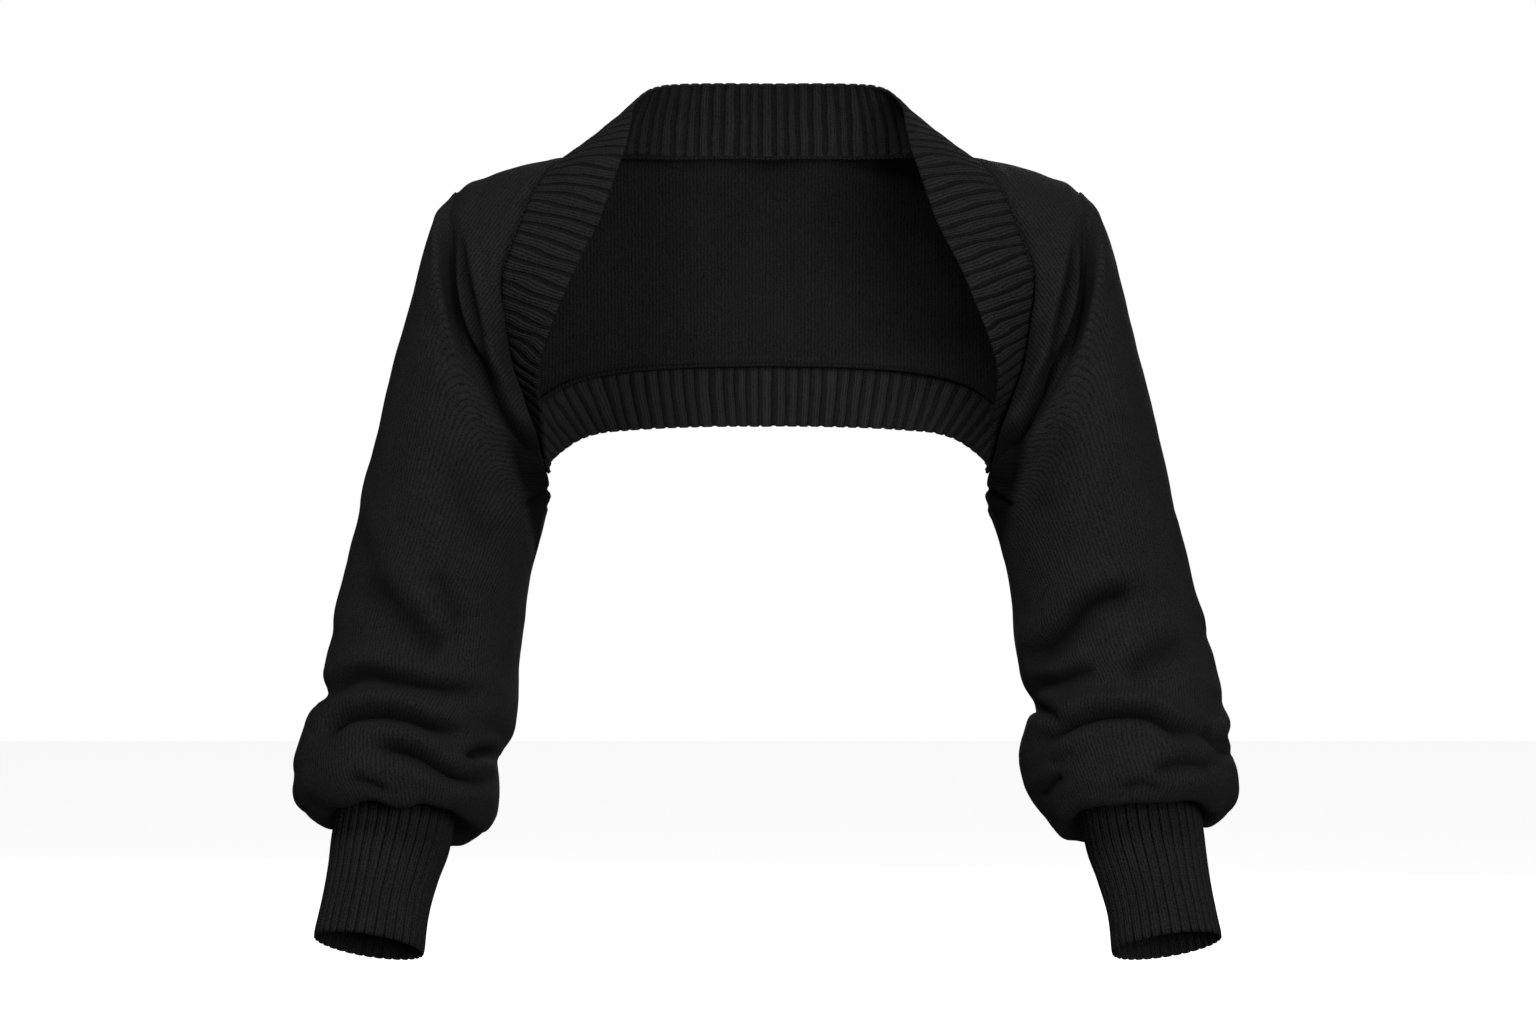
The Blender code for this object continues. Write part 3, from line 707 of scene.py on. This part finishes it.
sleeveFolds = {
    "right": [
        # face, depth, width, run of (x, z)
        (-1, 2.6, 8.0, [(234, -286), (223, -307), (213, -325)]),
        (-1, 3.8, 11.0, [(286, -285), (263, -311), (240, -333), (226, -344)]),
        (-1, 5.6, 5.6, [(309, -376), (296, -364), (281, -359), (258, -363), (228, -368), (197, -372)]),
        (-1, 7.6, 5.2, [(312, -405), (304, -395), (293, -388), (273, -386), (254, -389), (235, -396), (214, -401)]),
        (-1, 6.2, 5.2, [(276, -411), (258, -412), (241, -418), (230, -425), (216, -432), (195, -433)]),
        (-1, 6.0, 4.6, [(190, -414), (203, -413), (212, -419)]),
        (-1, 2.5, 6.0, [(293, -433), (280, -436), (266, -443)]),
        (-1, 1.6, 13.0, [(220, -208), (205, -248), (190, -268)]),
        (-1, 1.3, 9.0, [(300, -240), (285, -262), (276, -290)]),
        (1, 4.0, 8.0, [(290, -310), (252, -334), (214, -330)]),
        (1, 5.5, 7.0, [(196, -360), (238, -372), (290, -361)]),
        (1, 6.5, 6.5, [(304, -402), (252, -397), (200, -412)]),
        (1, 4.5, 5.0, [(208, -431), (240, -436), (272, -428)]),
        (1, 2.5, 9.0, [(262, -180), (240, -225), (214, -258)]),
    ],
    "left": [
        (-1, 5.5, 8.5, [(260, -302), (244, -304), (227, -310), (216, -320), (206, -331), (192, -343), (180, -350)]),
        (-1, 3.2, 9.5, [(294, -335), (274, -344), (260, -352), (248, -363)]),
        (-1, 3.5, 6.0, [(186, -366), (204, -364), (218, -359), (229, -355)]),
        (-1, 7.8, 5.4, [
            (186, -410), (200, -400), (214, -392), (232, -387), (255, -386), (272, -390), (286, -398), (307, -403)
        ]),
        (-1, 3.5, 5.5, [(267, -429), (283, -423), (298, -422), (314, -425)]),
        (-1, 5.0, 4.6, [(187, -378), (197, -386), (206, -389)]),
        (-1, 3.0, 4.6, [(191, -447), (197, -437), (207, -430)]),
        (-1, 3.5, 4.2, [(323, -419), (312, -407), (304, -396)]),
        (-1, 1.8, 13.0, [(211, -182), (194, -217), (187, -255)]),
        (-1, 1.5, 5.0, [(196, -423), (215, -414)]),
        (-1, 2.0, 6.0, [(246, -442), (260, -437), (276, -441)]),
        (1, 4.0, 8.0, [(196, -318), (232, -332), (270, -322)]),
        (1, 6.0, 7.0, [(302, -352), (262, -369), (214, -364)]),
        (1, 6.5, 6.5, [(190, -396), (238, -409), (294, -398)]),
        (1, 4.5, 5.0, [(286, -426), (252, -433), (220, -428)]),
        (1, 2.5, 9.0, [(244, -170), (226, -214), (210, -262)]),
    ],
}


# The same on the outer side, with runs of (y, z)
outerFolds = {
    "right": [
        (1, 1.9, 6.5, [(-78, -380), (-48, -372), (-14, -377), (18, -390)]),
        (1, 0.9, 6.5, [(-84, -418), (-54, -427), (-20, -421), (10, -410)]),
        (1, 0.9, 8.0, [(-52, -338), (-18, -329), (24, -341)]),
        (1, 0.7, 10.0, [(-34, -252), (2, -241), (36, -263)]),
    ],
    "left": [
        (1, 1.9, 6.5, [(-88, -410), (-56, -401), (-22, -405), (12, -417)]),
        (1, 0.9, 6.5, [(-72, -370), (-42, -379), (-6, -372), (24, -361)]),
        (1, 0.9, 8.0, [(-42, -322), (-10, -335), (28, -329)]),
        (1, 0.7, 10.0, [(-22, -232), (2, -262), (32, -282)]),
    ],
}


def rounded(value, squareness):
    return np.sign(value) * np.abs(value) ** (2 / squareness)


def sleeveCoarse(outline):
    rows = np.stack(list(outline.values()) + list(depthTable.values()), axis=1)
    sections = smoothCurve(rows, np.linspace(0, len(rows) - 1, sleeveShape["rings"]))
    backRows = len(armholeTable["x"]) - 1 - underarmRow
    fromTop = math.pi * armholeRows / underarmRow
    fromUnder = math.pi * (1 + (armholeRows - underarmRow) / backRows)
    armholeAngles = np.where(armholeRows < underarmRow, fromTop, fromUnder)
    evenAngles = np.arange(columns) * 2 * math.pi / columns
    rings = [armholeLoop]
    for ring, (outerX, outerZ, innerX, innerZ, centreY, halfDepth, leanDegrees, bow) in enumerate(sections, 1):
        evened = min(ring / sleeveShape["evenRing"], 1)
        angles = armholeAngles * (1 - evened) + evenAngles * evened
        across = rounded(np.cos(angles), sleeveShape["squareness"])
        forward = rounded(np.sin(angles), sleeveShape["squareness"])
        lean = math.radians(leanDegrees)
        x = (outerX + innerX) / 2 + (outerX - innerX) / 2 * across + bow * forward**2
        y = centreY - halfDepth * math.cos(lean) * forward
        z = (outerZ + innerZ) / 2 + (outerZ - innerZ) / 2 * across + halfDepth * math.sin(lean) * forward
        rings.append(np.stack([x, y, z], axis=1))
    return np.array(rings)


def makeSleeve(side, armNormals):
    name = "knitted_sleeve_" + side
    coarse = sleeveCoarse(sleeveOutlines[side])
    coarseNormals = gridNormals(coarse, True, 1)
    coarseNormals[0] = armNormals
    grid = refine(coarse, sleeveShape["rowParts"], sleeveShape["columnParts"], True)
    normals = unit(refine(coarseNormals, sleeveShape["rowParts"], sleeveShape["columnParts"], True))
    rows, count = grid.shape[:2]
    down = distanceDown(grid)
    toCuff = down[-1] - down
    keep = smoothStep(down, 0, 12 * mm) * smoothStep(toCuff, 0, 14 * mm)
    seed = 11.3 if side == "left" else 23.9
    middle = grid.mean(axis=1, keepdims=True)
    outward, back, _ = np.moveaxis((grid - middle) / (np.ptp(grid, axis=1)[:, None] / 2), 2, 0)
    folds, hollow = foldRise(sleeveFolds[side], *seenFromFront(grid), back)
    outerRise, outerHollow = foldRise(outerFolds[side], grid[..., 1], grid[..., 2], outward)
    pulls, pulled = shoulderPulls(grid)
    hollow = np.maximum(hollow, outerHollow)
    rise = (folds + outerRise) * keep + pulls + roundedShoulder(grid, down, 0)
    rise += (1.5 * mm * lumps(grid, 48 * mm, seed) + 0.5 * mm * lumps(grid, 17 * mm, seed + 4)) * keep
    turn = np.arange(count) / count * 2 * math.pi
    sway = 1.5 * lumps(grid[-1:] * np.ones((rows, 1, 1)), 30 * mm, seed + 9)
    gathered = smoothStep(down, 0.40, 0.50) * smoothStep(toCuff, -4 * mm, 10 * mm)
    rise += sleeveShape["gatherDepth"] * np.cos(sleeveShape["gathers"] * turn + sway * 2) * gathered * (0.6 + 0.4 * np.sin(5 * turn + seed))
    pocket = armpitPush(grid)
    grid[..., 1] += armpit["push"] * pocket
    droop = np.exp(-(((toCuff - 30 * mm) / (16 * mm)) ** 2)) * lumps(grid[-1:] * np.ones((rows, 1, 1)), 15 * mm, seed + 2)
    grid[..., 2] -= sleeveShape["droop"] * droop
    grid = grid + normals * rise[..., None]
    # painted shade: the colour is made darker in fold troughs, in the shoulder's pull folds and in the armpit's pocket
    shade = 1 - np.maximum(cloth["hollowShade"] * np.maximum(hollow * keep, pulled), armpit["shade"] * pocket)
    # inside the shoulder the edge turns back as a seam allowance
    back = unit(grid[0] - grid[1])
    under = [cloth["allowance"] * share * back - 2.1 * mm * sink * normals[0] for share, sink in ((1, 1), (0.15, 0.8))]
    grid = np.concatenate([[grid[0] + step for step in under], grid])
    down, shade = (np.concatenate([part[:1], part[:1], part]) for part in (down, shade))
    wales = np.arange(count + 1) / count * sleeveShape["wales"] * jerseyKnit["wale"]
    wales = np.tile(wales, (len(grid), 1))
    if side == "right":
        grid = grid[:, ::-1] * np.array([-1, 1, 1])
        down, shade = down[:, ::-1], shade[:, ::-1]
    piece = clothMesh(name, grid, wales, down, True, shade)
    finishCloth(piece, cloth["jerseyThickness"], jersey)
    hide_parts("sleeve_" + side)
    return piece


# Cuffs: long ribbed tubes

cuffShape = {
    "ribs": 34,
    "clearance": 0.7 * mm,
    "lean": math.radians(20),
    "cant": math.radians(8),
    "rings": 44,
    "columnsPerRib": 14,
    "ribWalls": (0.18, 0.40),
    "wander": 0.06,
}
cuffTable = tableOf(
    "centreX centreY centreZ halfWidth halfDepth",
    [
        (0.2592, -0.0525, -0.472, 0.0390, 0.0350),
        (0.2633, -0.0598, -0.492, 0.0365, 0.0335),
        (0.2675, -0.0674, -0.513, 0.0350, 0.0325),
        (0.2718, -0.0760, -0.541, 0.0365, 0.0340),
    ],
)


def makeCuff(side):
    outerX, outerZ, innerX, innerZ = [column[-1] for column in sleeveOutlines[side].values()]
    top = (
        (outerX + innerX) / 2,
        depthTable["centreY"][-1],
        (outerZ + innerZ) / 2,
        math.hypot(outerX - innerX, outerZ - innerZ) / 2 - cuffShape["clearance"],
        depthTable["halfDepth"][-1] - cuffShape["clearance"],
    )
    rows = np.vstack([top, np.stack(list(cuffTable.values()), axis=1)])
    sections = smoothCurve(rows, np.linspace(0, len(rows) - 1, cuffShape["rings"]))
    count = cuffShape["ribs"] * cuffShape["columnsPerRib"]
    angle = np.arange(count) / count * 2 * math.pi
    rings = []
    for centreX, centreY, centreZ, halfWidth, halfDepth in sections:
        across, forward = halfWidth * np.cos(angle), halfDepth * np.sin(angle)
        x = centreX + across * math.cos(cuffShape["cant"])
        y = centreY - forward * math.cos(cuffShape["lean"])
        z = centreZ + across * math.sin(cuffShape["cant"]) + forward * math.sin(cuffShape["lean"])
        rings.append(np.stack([x, y, z], axis=1))
    grid = np.array(rings)
    normals = gridNormals(grid, True, 1)
    seed = 31.7 if side == "left" else 47.2
    phase = np.arange(count) / cuffShape["columnsPerRib"]
    wander = cuffShape["wander"] * lumps(grid, 16 * mm, seed)
    height = ribHeights(phase[None, :] + wander, cuffShape["ribWalls"])
    down = distanceDown(grid)
    fromEnd = down[-1] - down
    nearEnd = 1 - smoothStep(fromEnd, 0, 4 * mm)
    rise = cloth["ribHeight"] * (height - 1) * (1 - 0.7 * nearEnd) - 0.6 * mm * nearEnd
    rise += 0.5 * mm * lumps(grid, 26 * mm, seed + 5)
    grid = grid + normals * rise[..., None]
    grid[-1] += unit(grid[-1] - grid[-2]) * (0.2 * mm * height[-1])[:, None]
    wales = np.arange(count + 1) / cuffShape["columnsPerRib"] * 4 * cuffKnit["wale"] + 0.5 * cuffKnit["wale"]
    wales = np.tile(wales, (len(grid), 1))
    # painted shade: darker in the rib grooves; the far side's inside, seen through the open end, has quieter painted
    # groove shade and is painted lighter, standing in for light that reaches it
    farEnd = (1 - smoothStep(fromEnd, 10 * mm, 20 * mm)) * smoothStep(-np.sin(angle), 0, 0.5)
    shade = (0.1 + 0.9 * height) * (1 - farEnd) + (1.0 + 0.3 * height) * farEnd
    if side == "right":
        grid = grid[:, ::-1] * np.array([-1, 1, 1])
        down, shade = down[:, ::-1], shade[:, ::-1]
    piece = clothMesh("ribbed_cuff_" + side, grid, wales, down, True, shade)
    finishCloth(piece, cloth["ribThickness"], cuffRib)
    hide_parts("cuff_" + side)
    return piece


# Linking stitches in the band's seam, on the face and on the allowance inside

stitches = {
    "pitch": 3.8 * mm,
    "length": 2.4 * mm,
    "radius": 0.45 * mm,
    "slant": 0.4 * mm,
    "faceDepth": 0.9 * mm,
    "insideDepth": 5.2 * mm,
    "insideAway": 1.6 * mm,
    "colour": "#303030",
}


def threadMaterial():  # spun cotton thread: dull, with a thin soft gloss
    material = bpy.data.materials.new("spun_cotton_thread_black")
    material.use_nodes = True
    tree = material.node_tree
    solid = addNode(tree, "ShaderNodeTexCoord").outputs["Object"]
    twist = addNode(tree, "ShaderNodeTexNoise", {"Vector": solid, "Scale": 1 / (0.8 * mm), "Detail": 2.0}).outputs[0]
    ramp = addNode(tree, "ShaderNodeValToRGB", {0: twist})
    ramp.color_ramp.elements[0].color = srgb("#0a0a0a")
    ramp.color_ramp.elements[1].color = srgb(stitches["colour"])
    shader = tree.nodes["Principled BSDF"]
    tree.links.new(ramp.outputs[0], shader.inputs["Base Color"])
    shader.inputs["Roughness"].default_value = 0.65
    shader.inputs["Specular IOR Level"].default_value = 0.2
    return material


def makeStitches(seamNormals):
    parts = 8
    rows = np.stack([wholeLoop(seamLine), wholeLoop(seamNormals), wholeLoop(edgeLine - seamLine)])
    lines = [refine(np.stack([row] * 2), 1, parts, True)[0] for row in rows]
    closed = [np.concatenate([line, line[:1]]) for line in lines]
    travelled = np.concatenate([[0], np.cumsum(np.linalg.norm(np.diff(closed[0], axis=0), axis=1))])
    count = round(travelled[-1] / stitches["pitch"])
    places = np.interp(np.arange(count) * travelled[-1] / count, travelled, np.arange(len(travelled)))
    seam, normal, toBand = (smoothCurve(line, places) for line in closed)
    normal, toBand = unit(normal), unit(toBand)
    along = unit(np.roll(seam, -1, axis=0) - np.roll(seam, 1, axis=0))
    slant = (-1.0) ** np.arange(count)[:, None] * stitches["slant"] * toBand
    half, radius = stitches["length"] / 2, stitches["radius"]
    vertices, faces = [], []
    for depth, away in ((stitches["faceDepth"], 0), (stitches["insideDepth"], stitches["insideAway"])):
        middle = seam - normal * depth + toBand * away
        reach = along * half + slant
        rings = [middle - reach]
        for end in (-0.6, 0.6):
            rings += [middle + reach * end + radius * side for side in (toBand, normal, -toBand, -normal)]
        rings.append(middle + reach)
        first = len(vertices)
        vertices += np.stack(rings, axis=1).reshape(-1, 3).tolist()
        for start in range(first, len(vertices), 10):
            for side in range(4):
                beside = (side + 1) % 4
                faces.append([start, start + 1 + beside, start + 1 + side])
                faces.append([start + 1 + side, start + 1 + beside, start + 5 + beside, start + 5 + side])
                faces.append([start + 9, start + 5 + side, start + 5 + beside])
    mesh = bpy.data.meshes.new("seam_stitching")
    mesh.from_pydata(vertices, [], faces)
    piece = bpy.data.objects.new("seam_stitching", mesh)
    scene.collection.objects.link(piece)
    bpy.context.view_layer.objects.active = piece
    piece.select_set(True)
    bpy.ops.object.mode_set(mode="EDIT")
    bpy.ops.mesh.select_all(action="SELECT")
    bpy.ops.mesh.normals_make_consistent(inside=False)
    bpy.ops.object.mode_set(mode="OBJECT")
    piece.select_set(False)
    mesh.shade_smooth()
    mesh.materials.append(threadMaterial())
    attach(piece, "root")
    return piece


bandGrid, bodyGrid = bandCoarse(), bodySurface(bodyShape["spans"], 1)[0]
bandNormals = flatOnMirror(bandGrid, gridNormals(bandGrid, True, -1))
bodyNormals = flatOnMirror(bodyGrid, gridNormals(bodyGrid, True, -1))
seamNormals = unit(bodyNormals[-1, seamColumns] + bandNormals[0, :cloth["bandSteps"] + 1])
armNormals = unit(bodyNormals[0] + gridNormals(sleeveCoarse(sleeveOutlines["left"]), True, 1)[0])
bandNormals[0] = wholeLoop(seamNormals)
bandDirections = bodyGrid[-1] - bodyGrid[-2]
bandDirections[seamColumns] = edgeLine - seamLine

makeBand(bandGrid, bandNormals)
print("band ready")
makeBody(seamNormals, armNormals, bandDirections)
print("body ready")
makeStitches(seamNormals)
for side in ("left", "right"):
    makeSleeve(side, armNormals)
    makeCuff(side)
print("sleeves and cuffs ready")


# Camera, floor and light

studio = {
    "floorHeight": -0.75,
    "paper": "#f4f4f4",
    "glow": 0.9,  # the paper is lit from below, as on a light table
    "air": 0.12,  # light from all round, while the backdrop itself is white
}


def makeStudio():
    camera = bpy.data.objects.new("camera", bpy.data.cameras.new("camera"))
    scene.collection.objects.link(camera)
    camera.data.sensor_width = 36
    camera.data.lens = 36 * view["distance"] / view["frameWidth"]
    camera.location = (0, -view["distance"], view["eyeHeight"])
    camera.rotation_euler = (math.pi / 2, 0, 0)
    scene.camera = camera

    bpy.ops.mesh.primitive_plane_add(size=12, location=(0, 0, studio["floorHeight"]))
    floor = bpy.context.object
    floor.name = "floor"
    floor.visible_diffuse = False
    floor.visible_glossy = False
    paper = bpy.data.materials.new("matte_white_paper")
    paper.use_nodes = True
    surface = paper.node_tree.nodes["Principled BSDF"].inputs
    surface["Base Color"].default_value = srgb(studio["paper"])
    surface["Roughness"].default_value = 0.9
    surface["Emission Color"].default_value = srgb(studio["paper"])
    surface["Emission Strength"].default_value = studio["glow"]
    floor.data.materials.append(paper)

    world = bpy.data.worlds.new("studio_air")
    scene.world = world
    world.use_nodes = True
    tree = world.node_tree
    seen = addNode(tree, "ShaderNodeLightPath").outputs["Is Camera Ray"]
    air = tree.nodes["Background"]
    tree.links.new(calc(tree, "MULTIPLY_ADD", seen, 1 - studio["air"], studio["air"]), air.inputs["Strength"])
    air.inputs["Color"].default_value = (1, 1, 1, 1)

    # name, place, aimed at, size, watts
    lamps = [
        ("key_softbox", (-0.7, -1.8, 1.9), (0, 0, -0.25), 1.0, 34),
        ("fill_softbox", (0.9, -2.6, 0.1), (0, 0, -0.25), 1.0, 38),
        ("back_softbox", (0.4, 2.3, 0.7), (0, 0, -0.2), 1.4, 24),
    ]
    for name, place, target, size, watts in lamps:
        light = bpy.data.lights.new(name, "AREA")
        light.size, light.energy = size, watts
        lamp = bpy.data.objects.new(name, light)
        scene.collection.objects.link(lamp)
        lamp.location = place
        lamp.rotation_euler = (Vector(target) - Vector(place)).to_track_quat("-Z", "Y").to_euler()
    scene.view_settings.view_transform = "Standard"


makeStudio()
print("studio ready")
